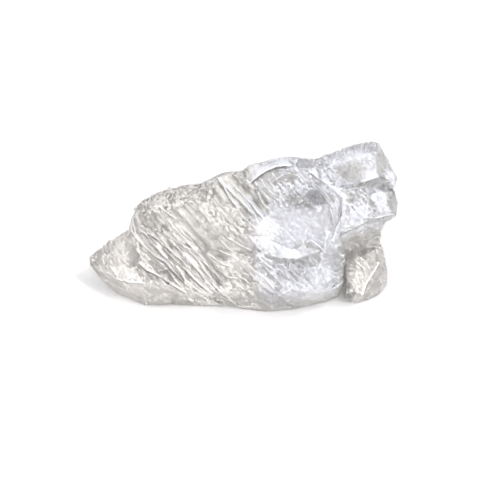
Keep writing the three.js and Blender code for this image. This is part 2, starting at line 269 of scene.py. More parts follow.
# %% Calm and striped areas
CALM = [
    (-18.2, 7.4, 3.4, 2.8, 0, 0.6),  # the tip
    (8.8, 5.2, 4.6, 2.6, 0, 0.7),  # under the pale facet
    (-1.6, 6.2, 2.6, 3.2, 0, 0.6),  # the belly
    (7.4, 11.4, 5.8, 3.9, -4, 1.0),  # the pale facet
    (15.9, 21.0, 3.0, 2.2, 12, 0.9),  # the slab
    (-12.8, 2.6, 6.0, 1.9, 0, 0.9),  # the keel under the tip
    (-16.9, 10.3, 1.8, 1.2, 20, 0.9),  # a window behind the tip
    (-13.4, 13.3, 2.2, 1.6, 0, 0.9),  # a window on the shoulder
    (-5.2, 10.8, 4.6, 2.3, -42, 1.0),  # a window between the steps
    (10.5, 1.9, 4.6, 1.5, 8, 0.8),  # the lower front
    (17.6, 4.2, 3.4, 3.4, 0, 0.7),  # the foot
    (21.3, 15.4, 0.9, 3.0, 0, 0.8),  # the end of the knuckle
]
STRIPED = [
    (-9.6, 7.6, 10.5, 3.6, -42, 1.0),  # the wide stepped band
    (0.3, 16.4, 4.4, 2.6, -50, 1.0),  # the slats
    (-17.0, 9.0, 3.2, 1.8, -50, 0.3),  # behind the tip
    (-1.0, 5.0, 4.0, 3.4, -40, 0.35),  # the belly
]
print(len(CALM), "calm areas,", len(STRIPED), "striped")

# %% [markdown]
# ## Broken areas
# Where the break ran across the cleavage the face is rough and sparkles. The same kind of list marks those
# areas, so that pits and fine facets can be kept to them.

# %% Broken areas
BROKEN = [
    (-9.9, 16.6, 7.6, 2.3, 14, 1.0),  # the upper left edge
    (-2.2, 13.0, 3.4, 3.4, 0, 1.0),  # under the slats
    (8.3, 17.2, 4.4, 2.4, 0, 1.0),  # the hollow
    (11.9, 19.0, 2.2, 4.2, 10, 0.8),  # between hollow and slab
    (16.0, 15.6, 2.6, 2.6, 0, 0.8),  # the knuckle
    (8.3, 5.2, 6.0, 2.6, 0, 0.35),  # the lower front
    (-1.2, 5.4, 3.6, 4.0, 0, 0.5),  # the belly
    (16.9, 5.0, 2.0, 3.0, 0, 0.5),  # the foot
    (-18.4, 7.4, 3.0, 2.2, -20, 0.15),  # the tip
]
print(len(BROKEN), "broken areas")

# %% [markdown]
# ## Frosted and highlighted patches
# A bruised or splintered face scatters light and looks white. On the stone these patches follow the slats,
# the crown, the edges of the blocks and the pale facet. Where they brighten the pale facet, the crown, the
# tip and the knuckle, the white is painted highlight as well as frost. They are spots again, gathered by
# where they lie.

# %% Frosted and highlighted patches
TIP_FROST_AND_HIGHLIGHT = [
    (-18.6, 7.2, 2.6, 1.6, 20, 0.35),
    (-17.2, 9.4, 2.2, 1.0, 30, 0.3),
    (-16.6, 5.5, 2.2, 0.9, -18, 0.9),
    (-12.8, 2.8, 5.8, 1.6, 0, 0.15),
    (-12.0, 15.9, 1.2, 0.8, 20, 0.4),
]
SLAT_FROST_AND_HIGHLIGHT = [
    (-2.6, 17.3, 1.8, 0.7, -58, 0.5),
    (-0.6, 16.5, 2.8, 0.6, -48, 1.0),
    (0.9, 16.1, 3.0, 0.4, -48, 1.0),
    (-5.2, 15.0, 1.2, 0.9, 0, 0.3),
    (-1.6, 13.6, 1.8, 2.0, 0, 0.25),
    (1.4, 19.8, 1.7, 0.8, 38, 1.0),
    (3.8, 21.0, 2.8, 0.8, 22, 0.4),
]
MIDDLE_FROST_AND_HIGHLIGHT = [
    (3.6, 11.7, 1.8, 1.7, -35, 0.65),
    (6.2, 10.4, 4.2, 2.6, -8, 0.15),
    (12.6, 10.6, 0.5, 1.8, 20, 0.3),
    (13.8, 13.8, 0.6, 2.6, 0, 0.4),
    (10.0, 15.6, 1.6, 0.5, -50, 0.9),
    (10.8, 17.0, 1.2, 0.3, -30, 0.6),
    (12.0, 18.4, 2.6, 0.6, -42, 0.4),
    (3.2, 4.6, 1.8, 0.8, -40, 0.6),
    (8.8, 3.4, 4.4, 1.4, 0, 0.25),
    (11.2, 5.4, 1.8, 1.6, 0, 0.35),
]
BLOCK_FROST_AND_HIGHLIGHT = [
    (14.6, 22.4, 3.4, 0.9, 14, 0.3),
    (16.3, 22.5, 1.9, 0.45, -8, 0.5),
    (17.9, 19.3, 1.1, 0.6, 12, 1.0),
    (21.1, 19.4, 0.6, 1.4, 25, 0.7),
    (16.4, 13.9, 1.7, 1.0, 40, 0.6),
    (19.4, 15.8, 0.9, 1.6, 20, 0.8),
    (20.1, 14.5, 0.6, 1.0, 30, 0.4),
    (16.5, 4.8, 1.0, 1.8, 0, 0.25),
]
WHITE = TIP_FROST_AND_HIGHLIGHT + SLAT_FROST_AND_HIGHLIGHT + MIDDLE_FROST_AND_HIGHLIGHT + BLOCK_FROST_AND_HIGHLIGHT
print(len(WHITE), "frosted patches")

# %% [markdown]
# ## Darker patches: clear windows and painted shade
# Where the skin is clear the eye looks into the stone, and the far side shows darker. These spots take the
# frost away and darken the stone: in the hollow, along the clear slat, in the recess and in the small
# windows. In the small windows this is the darker look of clear stone. In the hollow, the recess, under the
# ledge and the slab, in the knuckle's grooves and on the block faces turned from the light it is painted
# shade.

# %% Darker patches
LEFT_SHADE = [
    (-21.7, 6.9, 0.9, 0.9, 0, 0.15),
    (-13.5, 2.4, 5.6, 1.2, 0, 0.12),
    (-13.4, 13.4, 1.6, 1.4, 0, 0.5),
    (-11.3, 12.2, 1.0, 0.5, -45, 0.5),
    (-9.5, 7.5, 1.6, 0.5, -48, 0.6),
    (-8.5, 5.4, 1.4, 0.4, -48, 0.5),
    (-5.2, 10.8, 3.6, 1.5, -42, 0.4),
    (-4.4, 9.6, 1.6, 1.2, 0, 0.4),
    (-3.0, 7.8, 1.3, 0.5, -20, 0.5),
]
# the olive slat and the eye, and painted shade in the hollow
MIDDLE_SHADE = [
    (0.4, 17.9, 0.9, 0.5, -45, 0.5),
    (2.1, 16.3, 2.6, 0.7, -52, 1.0),
    (6.2, 18.9, 1.9, 0.6, 10, 1.0),
    (8.2, 16.2, 2.2, 0.9, -20, 0.6),
    (8.9, 9.2, 2.2, 1.0, -10, 0.35),
    (8.6, 1.6, 5.2, 1.0, 6, 0.2),
]
# painted shade in the recess, under the ledge and the slab, in the knuckle's grooves and on faces turned from
# the light
BLOCK_SHADE = [
    (15.3, 20.2, 2.2, 1.3, 8, 0.6),
    (19.5, 20.6, 1.0, 2.4, 10, 0.5),
    (19.2, 18.3, 2.6, 0.5, -4, 0.2),
    (21.4, 16.2, 0.6, 2.8, 5, 0.5),
    (21.5, 15.5, 0.9, 2.6, 0, 0.5),
    (15.3, 16.2, 0.9, 0.8, 0, 0.5),
    (18.0, 15.6, 0.4, 1.3, 20, 0.7),
    (17.4, 10.4, 2.8, 1.1, 12, 0.5),
    (16.4, 8.9, 2.4, 1.0, 0, 0.3),
    (14.7, 6.0, 0.4, 4.6, 0, 0.9),
    (15.3, 2.2, 0.9, 0.5, 0, 0.7),
]
SHADE = LEFT_SHADE + MIDDLE_SHADE + BLOCK_SHADE
print(len(SHADE), "darker patches")

# %% [markdown]
# ## Worn joints
# The blocks of the solid model meet in sharp creases, and on the real stone some of these run into each
# other. These spots mark the creases that are to be softened. A strength over 1 takes out a whole ledge.

# %% Worn joints
SOFT = [
    (-15.6, 8.4, 1.6, 1.6, 0, 0.8),  # behind the tip
    (-12.0, 2.0, 2.4, 2.4, 0, 1.0),  # the keel
    (-6.3, 5.0, 0.8, 4.2, 0, 0.8),  # left of the belly
    (-2.0, 10.7, 4.6, 1.3, -22, 1.0),  # over the belly
    (1.6, 5.0, 0.8, 4.2, 0, 0.8),  # right of the belly
    (0.2, 15.4, 4.8, 2.6, -50, 0.9),  # the slats
    (2.6, 11.5, 0.8, 3.4, -15, 0.5),  # left of the pale facet
    (7.6, 15.2, 5.6, 0.8, 0, 1.0),  # the lower lip of the hollow
    (9.4, 16.8, 3.8, 2.0, 0, 1.5),  # the pockets in the hollow
    (13.2, 8.0, 0.8, 6.0, 0, 0.5),  # left of the recess
    (17.2, 15.6, 0.6, 3.0, 0, 0.7),  # the knuckle
    (19.4, 18.0, 2.6, 1.0, 0, 0.8),  # under the slab
]
print(len(SOFT), "worn joints")

# %% [markdown]
# ## Ridges on the front
# The larger steps catch the light along one edge, with a thin dark foot on the other side. The material
# paints the bright side as a highlight and the foot as shade. Each is a line on the drawing: how wide its
# bright side is in millimetres, how strong it is, and the points it runs through. The bright side is always
# the upper right one, the side that faces the light, so the lines need no direction of their own.

# %% Ridges on the pale facet and above it
FACET_RIDGES = [
    (5.4, 0.22, [(1.7, 9.8), (2.8, 8.4), (5.2, 7.8), (7.4, 7.7), (10.6, 8.6)]),  # along the foot of the facet
    (0.25, 0.6, [(1.0, 18.5), (2.2, 16.7), (3.5, 14.3)]),
    (0.2, 0.5, [(3.4, 13.4), (4.7, 12.3), (6.2, 11.4), (7.0, 10.4)]),
    (0.25, 0.7, [(9.2, 17.6), (10.6, 16.2)]),  # three in the hollow above it
    (0.25, 0.7, [(10.0, 17.9), (11.5, 16.5)]),
    (0.25, 0.6, [(10.9, 17.6), (12.2, 16.2)]),
]
print(len(FACET_RIDGES), "ridges on the pale facet and above it")

# %% [markdown]
# ## The stepped band
# To the left of the middle the cleavage steps run down to the right in a wide band. They are drawn one by
# one because their spacing is uneven, and a regular pattern would look machined.

# %% Ridges of the stepped band and the tip
BAND_RIDGES = [
    (0.35, 0.7, [(-16.6, 11.1), (-16.0, 11.6), (-15.0, 10.3), (-14.0, 9.3)]),
    (0.35, 0.8, [(-14.7, 9.9), (-13.5, 8.9), (-12.5, 7.9)]),
    (0.75, 1, [(-12.5, 7.9), (-11.2, 7.1), (-10.2, 6.0), (-8.9, 4.7)]),
    (0.6, 0.8, [(-14.6, 6.8), (-13.8, 6.0), (-12.7, 5.5)]),
    (0.5, 1, [(-12.7, 5.5), (-11.4, 4.8), (-10.2, 3.9), (-8.4, 2.8)]),
    (0.3, 0.7, [(-13.5, 10.3), (-12.2, 8.9)]),
    (0.6, 0.8, [(-13.3, 11.1), (-12.1, 10.3), (-10.9, 9.2), (-9.5, 7.9)]),
    (0.4, 0.8, [(-11.6, 11.5), (-10.3, 10.6), (-9.2, 9.8), (-7.7, 8.9)]),
    (0.3, 0.8, [(-11.8, 14.9), (-10.6, 14.0), (-9.6, 13.3)]),
    (0.3, 0.6, [(-10.9, 13.3), (-9.6, 11.8)]),
    (0.35, 0.8, [(-9.6, 12.5), (-8.9, 11.6), (-8.2, 10.9), (-7.3, 10.2)]),
    (0.3, 0.7, [(-11.2, 8.9), (-9.5, 7.1), (-8.2, 6.0)]),
    (0.35, 0.8, [(-9.8, 8.9), (-8.3, 7.7), (-6.8, 6.3), (-5.4, 4.7)]),
    (0.65, 1, [(-8.2, 6.0), (-7.1, 4.8), (-6.1, 3.8), (-4.8, 2.8)]),
    (0.3, 0.7, [(-9.2, 9.5), (-7.4, 8.4), (-5.8, 7.3), (-4.5, 5.8), (-3.3, 4.1)]),
    (0.4, 0.8, [(-7.4, 8.9), (-5.7, 7.7), (-4.7, 6.6), (-3.8, 5.2), (-3.1, 4.1)]),
    (0.3, 0.6, [(-6.7, 6.3), (-5.2, 4.8), (-4.2, 3.3)]),
    (0.55, 1, [(-4.8, 4.5), (-3.6, 3.2), (-2.2, 2.0)]),
    (0.3, 0.6, [(-9.5, 5.7), (-7.7, 4.1), (-6.3, 2.8)]),
    (0.45, 0.6, [(-18.9, 6.3), (-17.9, 4.8), (-16.3, 4.2), (-14.3, 4.1)]),
]
print(len(BAND_RIDGES), "ridges on the stepped band")

# %% [markdown]
# ## Slats and crown
# Above the belly three broken slats stand up, and a white crown runs along the top edge. Their bright sides
# are about a millimetre wide, so the same kind of line draws them too, only with a larger width.

# %% Ridges of the belly, the slats and the crown
SLAT_RIDGES = [
    (0.35, 0.6, [(-2.2, 10.6), (-0.4, 9.5), (1.2, 8.7)]),
    (0.3, 0.6, [(-3.2, 10.2), (-1.7, 8.7)]),
    (0.3, 0.5, [(-4.4, 8.0), (-2.9, 6.8), (-1.0, 6.3)]),
    (0.3, 0.5, [(-3.9, 6.3), (-2.5, 5.1), (-0.9, 4.8)]),
    (0.3, 0.5, [(-3.3, 8.7), (-1.6, 8.0), (0.0, 7.1)]),
    (0.95, 0.9, [(-3.5, 18.9), (-2.8, 17.8), (-1.9, 16.3), (-1.0, 15.1)]),  # the three slats
    (1.35, 1, [(-2.2, 17.6), (-0.4, 15.9), (1.2, 14.1)]),
    (0.75, 1, [(-0.7, 17.3), (1.0, 15.6), (2.5, 13.7)]),
    (0.35, 0.5, [(-0.7, 14.4), (0.6, 13.0), (1.7, 11.9)]),
    (1.3, 1, [(1.2, 18.5), (2.2, 19.4), (3.3, 20.1), (4.8, 20.7), (6.0, 20.8)]),  # the crown
    (0.8, 0.5, [(9.8, 19.8), (12.4, 17.8), (14.1, 16.2), (13.8, 13.5), (12.6, 10.4)]),
    (0.3, 0.3, [(13.2, 12.0), (12.5, 10.6), (11.8, 9.2)]),
]
print(len(SLAT_RIDGES), "ridges on the belly, the slats and the crown")

# %% [markdown]
# ## Blocks and hollow
# The blocky end has a few clean edges, and the hollow is ringed by short ones where small chips came away.
# The order of the lists matters a little: a corner that is as near to one ridge as to another takes one of
# the two by where they stand in the list.

# %% Ridges of the blocks, the lower front and the hollow
BLOCK_RIDGES = [
    (0.2, 0.5, [(15.9, 21.8), (18.5, 21.6)]),
    (0.5, 0.8, [(14.6, 17.7), (16.5, 18.3), (18.9, 19.1)]),
    (0.3, 0.7, [(13.7, 11.5), (15.6, 11.8), (17.0, 12.7), (19.1, 13.5), (21.4, 14.0)]),
    (0.45, 0.7, [(17.3, 2.5), (17.9, 4.1), (18.8, 5.4), (19.7, 6.8)]),
    (0.35, 0.6, [(16.2, 7.1), (17.2, 6.3), (17.6, 5.1)]),
]
HOLLOW_RIDGES = [
    (0.5, 0.8, [(1.9, 5.7), (3.1, 4.8), (4.2, 3.5)]),  # three on the lower front
    (0.25, 0.4, [(9.5, 10.3), (10.5, 9.6), (11.4, 8.6)]),
    (0.3, 0.5, [(1.9, 8.2), (3.3, 6.8), (4.5, 6.0)]),
    (0.4, 0.9, [(8.7, 16.7), (9.5, 17.5), (10.3, 17.6), (11.2, 17.0), (11.9, 16.0), (12.4, 15.0)]),
    (0.25, 0.4, [(4.7, 18.8), (5.5, 19.4), (6.7, 19.7), (7.9, 19.4), (8.6, 18.5)]),
    (0.3, 0.8, [(6.8, 16.8), (8.0, 15.7)]),
    (0.25, 0.8, [(7.7, 17.3), (8.6, 16.4)]),
    (0.3, 0.8, [(9.8, 16.5), (10.9, 15.4)]),
    (0.3, 0.8, [(9.2, 15.6), (10.3, 14.9)]),
]
RIDGES = FACET_RIDGES + BAND_RIDGES + SLAT_RIDGES + BLOCK_RIDGES + HOLLOW_RIDGES
print(len(RIDGES), "ridges in all")

# %% [markdown]
# ## The ridges as edges
# Geometry Nodes can ask any mesh for its nearest edge. So the ridges become a flat mesh of bare edges, the
# drawing itself, and each edge carries its width, its strength and the way to its bright side.

# %% Make the drawing
def bright_way(a, b):
    """The way from a stretch of ridge to its upper right side."""
    along = Vector((b[0] - a[0], b[1] - a[1], 0)).normalized()
    return Vector((0, 0, 1)).cross(along) * (1 if along.x > 0 or along.y < 0 else -1)


def ridge_lines():
    """The ridges as bare edges on the drawing, each with its width, its strength and its bright side."""
    points, edges, wide, strong, bright = [], [], [], [], []
    for width, strength, line in RIDGES:
        for a, b in zip(line, line[1:]):
            edges.append((len(points), len(points) + 1))
            points += [(*a, 0), (*b, 0)]
            wide.append(width)
            strong.append(strength)
            bright.append(bright_way(a, b))
    mesh = bpy.data.meshes.new("ridges")
    mesh.from_pydata(points, edges, [])
    for name, values in (("width", wide), ("strength", strong)):
        mesh.attributes.new(name, "FLOAT", "EDGE").data.foreach_set("value", values)
    flat = [x for v in bright for x in v]
    mesh.attributes.new("bright", "FLOAT_VECTOR", "EDGE").data.foreach_set("vector", flat)
    lines = bpy.data.objects.new("ridges", mesh)
    bpy.context.scene.collection.objects.link(lines)
    return lines


lines = ridge_lines()
print("stretches of ridge:", len(lines.data.edges))

# %% [markdown]
# ## The body
# The solid model's faces are large flat triangles, which cannot carry fine steps. Subdividing them would
# keep their long thin shapes. A voxel remesh gives every place on the stone the same small faces instead,
# so a step is as crisp on one block as on the next.

# %% Copy the block model and give it an even mesh
VOXEL = 0.13 * MM
MERGE = 1e-6
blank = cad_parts["crystal"].data.copy()
blank.name = "petalite_crystal"
stone = bpy.data.objects.new("petalite_crystal", blank)
bpy.context.scene.collection.objects.link(stone)
bm = bmesh.new()
bm.from_mesh(blank)
bmesh.ops.remove_doubles(bm, verts=bm.verts, dist=MERGE)
bm.to_mesh(blank)
bm.free()
remesh = stone.modifiers.new("even mesh", "REMESH")
remesh.mode = "VOXEL"
remesh.voxel_size = VOXEL
remesh.adaptivity = 0.0
print("block model:", len(blank.polygons), "faces, to be remeshed at", round(VOXEL / MM, 2), "mm")

# %% [markdown]
# ## The cleavage tree
# Steps that follow a rule are a job for Geometry Nodes. The tree takes the body and moves each corner in or
# out. Its named inputs say how strong each kind of step is, so they can be turned up and down in the
# modifier panel.

# %% Start the tree
INPUTS = {"Depth": 0.08, "Slope": 0.38, "Facet": 0.15, "Pit": 0.08, "Ridge": 0.12}
tree = bpy.data.node_groups.new("Cleavage", "GeometryNodeTree")
tree.interface.new_socket("Geometry", in_out="INPUT", socket_type="NodeSocketGeometry")
for name in INPUTS:
    tree.interface.new_socket(name, in_out="INPUT", socket_type="NodeSocketFloat")
tree.interface.new_socket("Ridges", in_out="INPUT", socket_type="NodeSocketObject")
tree.interface.new_socket("Material", in_out="INPUT", socket_type="NodeSocketMaterial")
tree.interface.new_socket("Geometry", in_out="OUTPUT", socket_type="NodeSocketGeometry")
g = Nodes(tree)
group_in = tree.nodes.new("NodeGroupInput")
named = {s.name: Socket(g, s) for s in group_in.outputs if s.name}
print("inputs:", list(named))

# %% [markdown]
# ## Where a corner is
# Everything in the tree depends on where a corner lies on the drawing. A little noise is added first: a
# tenth of a millimetre for the ridges, so that they are not ruled lines, and more for the spots, so that
# their outlines are ragged and no oval shows.

# %% Places in the tree
RIDGE_WANDER, SPOT_WANDER = 0.12, 2.2  # mm
OTHER_NOISE = (31.0, 17.0, 5.0)  # a second noise is the first one read this far away
at = g.add("GeometryNodeInputPosition")
place = g.vector("SCALE", at, Scale=1 / MM)
normal = g.add("GeometryNodeInputNormal")
along, rise = drawn(g, place)
front = g.step(g.dot(normal, OUTWARD), 0.1, 0.35)  # 1 on faces that the drawing shows
ragged = g.noise(place, 0.8, 3.0, 0.6) - 0.5
ragged_too = g.noise(g.vector("ADD", place, OTHER_NOISE), 0.8, 3.0, 0.6) - 0.5
flat = g.combine(along + ragged * RIDGE_WANDER, rise + ragged_too * RIDGE_WANDER, 0.0)
along, rise = along + ragged * SPOT_WANDER, rise + ragged_too * SPOT_WANDER
calm = spots(along, rise, CALM)
broken = spots(along, rise, BROKEN)
striped = spots(along, rise, STRIPED)
# frosted patches, partly painted highlight, and darker patches, partly painted shade
white = spots(along, rise, WHITE)
shade = spots(along, rise, SHADE)
print("nodes so far:", len(tree.nodes))

# %% [markdown]
# ## Worn joints and the low back
# Blur Attribute averages each corner's position with its neighbours', many times over, which gives a worn
# stone. Mixing a part of it in softens only the marked joints. The low back is worn all over, because its
# square block edges would show from behind.

# %% Wear the joints
BLUR_ROUNDS = 140
BACK_WEAR = 0.6


def blurred(rounds):
    """Where each corner goes if it moves to its neighbours' average this many times."""
    inputs = {"Value": at, "Iterations": rounds}
    return g.add("GeometryNodeBlurAttribute", {"data_type": "FLOAT_VECTOR"}, inputs)


near_side = g.step(g.dot(place, (0, 1, 0)), 4.0, 1.0)
low_back = (1.0 - near_side) * g.step(g.dot(place, (0, 0, 1)), 14.0, 9.0)
wear = spots(along, rise, SOFT) * near_side + low_back * BACK_WEAR
worn = g.vector("SCALE", g.vector("SUBTRACT", blurred(BLUR_ROUNDS), at), Scale=wear)
body = g.add("GeometryNodeSetPosition", None, {"Geometry": named["Geometry"], "Offset": worn})
print("positions are blurred", BLUR_ROUNDS, "times")

# %% [markdown]
# ## Plates, facets and pits
# Three kinds of fine shape are added up: cleavage plates, which are strongest on the striped areas, facets
# of about 3 mm, and pits on the broken areas. Calm faces keep a tenth of the first two, so light still
# moves on them.

# %% Plates, facets and pits
PLATE, PLATE_RUN = 0.8, 2.6  # mm thick and long
FACET = 3.0  # mm
still = 1.0 - calm * 0.9
lift, slope = plates(g, place, PLATE, PLATE_RUN, 3.0)
steps = (lift * named["Depth"] + slope * named["Slope"]) * (0.4 + striped * 0.6) * (1.0 - low_back * 0.5)
facet, _ = facets(g, place, FACET, 0.0)
shift = (steps + facet * named["Facet"]) * still
pits = (g.noise(place, 1.5, 2.0) - 0.5) * named["Pit"] * broken
print("plates of", PLATE, "mm, facets of", FACET, "mm")

# %% [markdown]
# ## The nearest ridge
# For each corner the tree finds the nearest edge of the drawing: which it is, how far away, and on which
# side. Sample Nearest, Geometry Proximity and Sample Index answer these in that order. Both distances are
# then divided by the ridge's own width, so one rule serves a hair line and a slat.

# %% Find the nearest ridge
info = g.add("GeometryNodeObjectInfo", {"transform_space": "ORIGINAL"}, {0: named["Ridges"]}, 4)
index = g.add("GeometryNodeSampleNearest", {"domain": "EDGE"}, {0: info, 1: flat})
away = g.add("GeometryNodeProximity", {"target_element": "EDGES"}, {0: info, 2: flat}, 1)
onto = g.add("GeometryNodeProximity", {"target_element": "EDGES"}, {0: info, 2: flat}, 0)


def of_ridge(name, kind="FLOAT"):
    value = g.add("GeometryNodeInputNamedAttribute", {"data_type": kind}, {0: name})
    settings = {"data_type": kind, "domain": "EDGE"}
    return g.add("GeometryNodeSampleIndex", settings, {"Geometry": info, "Value": value, "Index": index})


width = of_ridge("width") * 0.8
strength = of_ridge("strength") * front
towards = g.vector("SUBTRACT", flat, onto)
side = g.vector("DOT_PRODUCT", towards, of_ridge("bright", "FLOAT_VECTOR"), out=1)
across = side / width  # 0 on the ridge, 1 at the far edge of its bright side
reach = away / width
print("each corner knows its nearest of", len(RIDGES), "ridges")

# %% [markdown]
# ## The step at a ridge
# A step stands highest at its edge and slopes back to the face behind it. On the other side there is a
# narrow dip, the crack that it broke along. Both fade out where the ridge ends.

# %% Raise the ridges
near = g.step(reach, 1.15, 0.85)
rim = g.step(side, -0.1, 0.05) * (1.0 - across) * width.math("MINIMUM", 1.0) * 0.75
dip = g.step(away, 0.45, 0.15) * g.step(side, 0.0, -0.12) * 0.3
ridge = (rim * near - dip) * strength * named["Ridge"] * 2.0
print("a wide step of full strength stands", INPUTS["Ridge"] * 2.0 * 0.75, "mm high at its edge")

# %% [markdown]
# ## Move the corners
# The sum moves each corner along its normal, fading to nothing at the table so that the foot stays flat.
# The two ends are drawn out a little. This makes up for what the remesh rounds off, and it carries the
# pointed tip about a third of a millimetre past the solid model, where the real one ends.

# %% Add up the moves
END_REACH, TIP_REACH = 0.2, 0.45  # mm, at the blocky end and at the tip
total = (shift + pits + ridge) * MM
low = g.step(g.dot(place, (0, 0, 1)), 0.05, 0.6)
offset = g.vector("SCALE", normal, Scale=total * low)
far = g.dot(place, (1, 0, 0))
ends = g.step(far, 12.0, 22.0) * END_REACH - g.step(far, -10.0, -22.0) * TIP_REACH
offset = g.vector("ADD", offset, g.combine(ends * MM, 0.0, 0.0))
print("the foot stays flat below 0.05 mm")

# %% [markdown]
# ## Keep the masks on the mesh
# The material needs the same masks, and it cannot see the tree. Store Named Attribute keeps each one on the
# corners. A last one, sharp, compares each corner with its neighbours' average: more than 0 on an edge that
# stands out, less in a crease.

# %% Store the masks and end the tree
SHARP = 30.0  # a corner that stands out by a thirtieth of a millimetre counts as fully sharp
for name, value in (
    ("calm", calm),
    ("broken", broken),
    ("striped", striped),
    ("white", white * front),
    ("shade", shade * front),
    ("across", across),
    ("reach", reach),
    ("strength", strength),
):
    body = g.add("GeometryNodeStoreNamedAttribute", None, {"Geometry": body, "Name": name, "Value": value})
moved = g.add("GeometryNodeSetPosition", None, {"Geometry": body, "Offset": offset})
proud = g.vector("SUBTRACT", at, blurred(2))
sharp = g.vector("DOT_PRODUCT", proud, normal, out=1) * (SHARP / MM)
moved = g.add("GeometryNodeStoreNamedAttribute", None, {"Geometry": moved, "Name": "sharp", "Value": sharp})
real = g.add("GeometryNodeRealizeInstances", None, {0: moved})
painted = g.add("GeometryNodeSetMaterial", None, {"Geometry": real, "Material": named["Material"]})
group_out = tree.nodes.new("NodeGroupOutput")
tree.links.new(painted.output, group_out.inputs[0])
print("nodes in the tree:", len(tree.nodes))

# %% [markdown]
# ## The petalite
# The finish is one material for the whole stone: clear where the skin is clean, white where it is
# splintered, and on the front it also carries painted highlights and painted shade. Two separate materials
# would need a hard border. Here masks from the mesh are read back, and noise in millimetres, stretched along
# the cleavage, breaks them up.

# %% Masks in the material
petalite = bpy.data.materials.new("petalite")
petalite.use_nodes = True
petalite.node_tree.nodes.clear()
m = Nodes(petalite.node_tree)
place = m.vector("SCALE", m.add("ShaderNodeTexCoord", out=3), Scale=1 / MM)
calm, broken, striped = m.named("calm"), m.named("broken"), m.named("striped")
white, shade = m.named("white"), m.named("shade")
across, reach, strength = m.named("across"), m.named("reach"), m.named("strength")
broken, striped = broken * (1.0 - calm * 0.75), striped * (1.0 - calm * 0.75)
crest = m.named("sharp").clamped() * (1.0 - calm * 0.7)
# painted shade in creases, where a corner lies below its neighbours
crevice = (m.named("sharp") * -1.0).clamped()
still = 1.0 - calm * 0.85
print("the material reads 9 masks from the mesh")

# %% [markdown]
# ## Bright side, dark foot
# Each drawn ridge has three zones: a bright side, which is painted highlight, a darker foot under it, which
# is painted shade, and a hair-thin crack right at its edge. All three come from the two distances that the
# tree kept, with noise on the bright one.

# %% Zones at a ridge
wave = m.noise(place, 1.6, 3.0) - 0.5
# painted highlight on the side of the ridge that faces the light
bright = m.step(across + wave * 0.3, -0.05, 0.05) * m.step(reach + wave * 1.2, 0.85, 0.7) * strength
# painted shade on the foot of the ridge
dark = m.step(reach, 0.6, 0.2) * m.step(across, 0.05, -0.15) * strength
crack = m.step(reach, 0.24, 0.1) * m.step(across, 0.04, -0.02) * strength
print("zones: bright, dark, crack")

# %% [markdown]
# ## Fine grain
# Steps and facets of a millimetre and less would need a much finer mesh, so they are left to the material.
# The same plates and facets are used again here at a smaller size. Streaks and mottles are plain noise in a
# frame stretched along the cleavage.

# %% Plates, facets and noise at a small size
SKIN_PLATE, BLADE = 0.33, 0.27  # mm thick
SKIN_RUN, BLADE_RUN = 1.9, 1.7  # mm long
COARSE, FINE, GRAINS = 1.1, 0.36, 0.2  # mm across
_, slope = plates(m, place, SKIN_PLATE, SKIN_RUN, 11.0)
coarse, _ = facets(m, place, COARSE, 4.0)
fine, fine_pick = facets(m, place, FINE, 9.0)
grains, grain_pick = facets(m, place, GRAINS, 2.0)
blade, _ = plates(m, place, BLADE, BLADE_RUN, 7.0)
streak_at = m.combine(
    m.dot(place, GRAIN) * 0.36 + m.noise(place, 0.3, 1.0) * 0.4,
    m.dot(place, STACK) * 4.0 + m.noise(place, 0.5, 2.0) * 1.1,
    m.dot(place, INWARD) * 0.5,
)
streak = m.noise(streak_at, 1.0, 2.0, 0.55)
drift = m.combine(m.dot(place, GRAIN) * 0.6, m.dot(place, STACK) * 1.3, m.dot(place, INWARD))
mottle = m.noise(drift, 3.0, 3.0, 0.6)
speck = m.noise(drift, 5.0, 2.0, 0.6)
grain = m.noise(drift, 6.0, 2.0, 0.6) - 0.5
milk = m.noise(place, 0.45, 2.0, 0.6)
print("facets of", COARSE, FINE, GRAINS, "mm in the skin")

# %% [markdown]
# ## Bump
# The smallest steps only tilt the surface, so a Bump node is enough for them. It is given a height in
# millimetres: the slope of the plates, three sizes of facet, the streaks, and the lean of a ridge's side.

# %% Bump
height = (
    slope * 0.42 * still
    + coarse * 0.12 * still
    + fine * (0.04 + broken * 0.2)
    + grains * (0.06 + broken * 0.25)
    + (streak - 0.5) * striped * 0.12
    + m.step(across, -0.25, 0.0) * m.step(reach, 1.3, 0.9) * (1.0 - across) * strength * 0.1
)
bump = m.add("ShaderNodeBump", None, {"Height": height, "Strength": 1.0, "Distance": MM})
print("bump in millimetres")

# %% [markdown]
# ## Where the skin is frosted or painted light
# A splintered surface holds many tiny tilted mirrors, so it turns white. Each cause adds its share: steps,
# mottles, single facets, drawn patches and the bright side of the ridges. The bright side of the ridges and
# the drawn patches on the pale facet, the crown, the tip and the knuckle are painted highlight. Clear
# patches and cracks take away, and so does the painted shade of the darker patches and of each ridge's foot.
# A last soft step turns the sum into mostly clear or mostly white, which is what makes it look like glass.

# %% Frost and painted light
frost_and_painted_light = (
    0.23
    + m.step(milk, 0.35, 0.7) * 0.12
    + m.step(blade, 0.16, 0.2) * (0.04 + striped * 0.45)
    + m.step(streak, 0.54, 0.57) * striped * 0.2
    + m.step(mottle, 0.53, 0.56) * (0.12 + broken * 0.3 - calm * 0.04)
    + m.step(fine_pick, 0.66, 0.7) * (0.06 + broken * 0.22)
    + m.step(grain_pick, 0.7, 0.72) * (0.06 + broken * 0.2)
    # frosted patches, and painted highlight on the pale facet, the crown, the tip and the knuckle
    + white * (0.3 + m.step(mottle, 0.44, 0.5) * 0.2)
    # painted highlight on the bright side of each ridge
    + bright * (0.5 + m.step(streak, 0.44, 0.5) * 0.4)
    + grain * 0.5
    + crest * 0.25
    + calm * 0.08
    - broken * 0.1
    # darker patches, partly painted shade, and painted shade on each ridge's foot
    - shade * 0.26
    - dark * 0.3
    - crack * 0.4
)
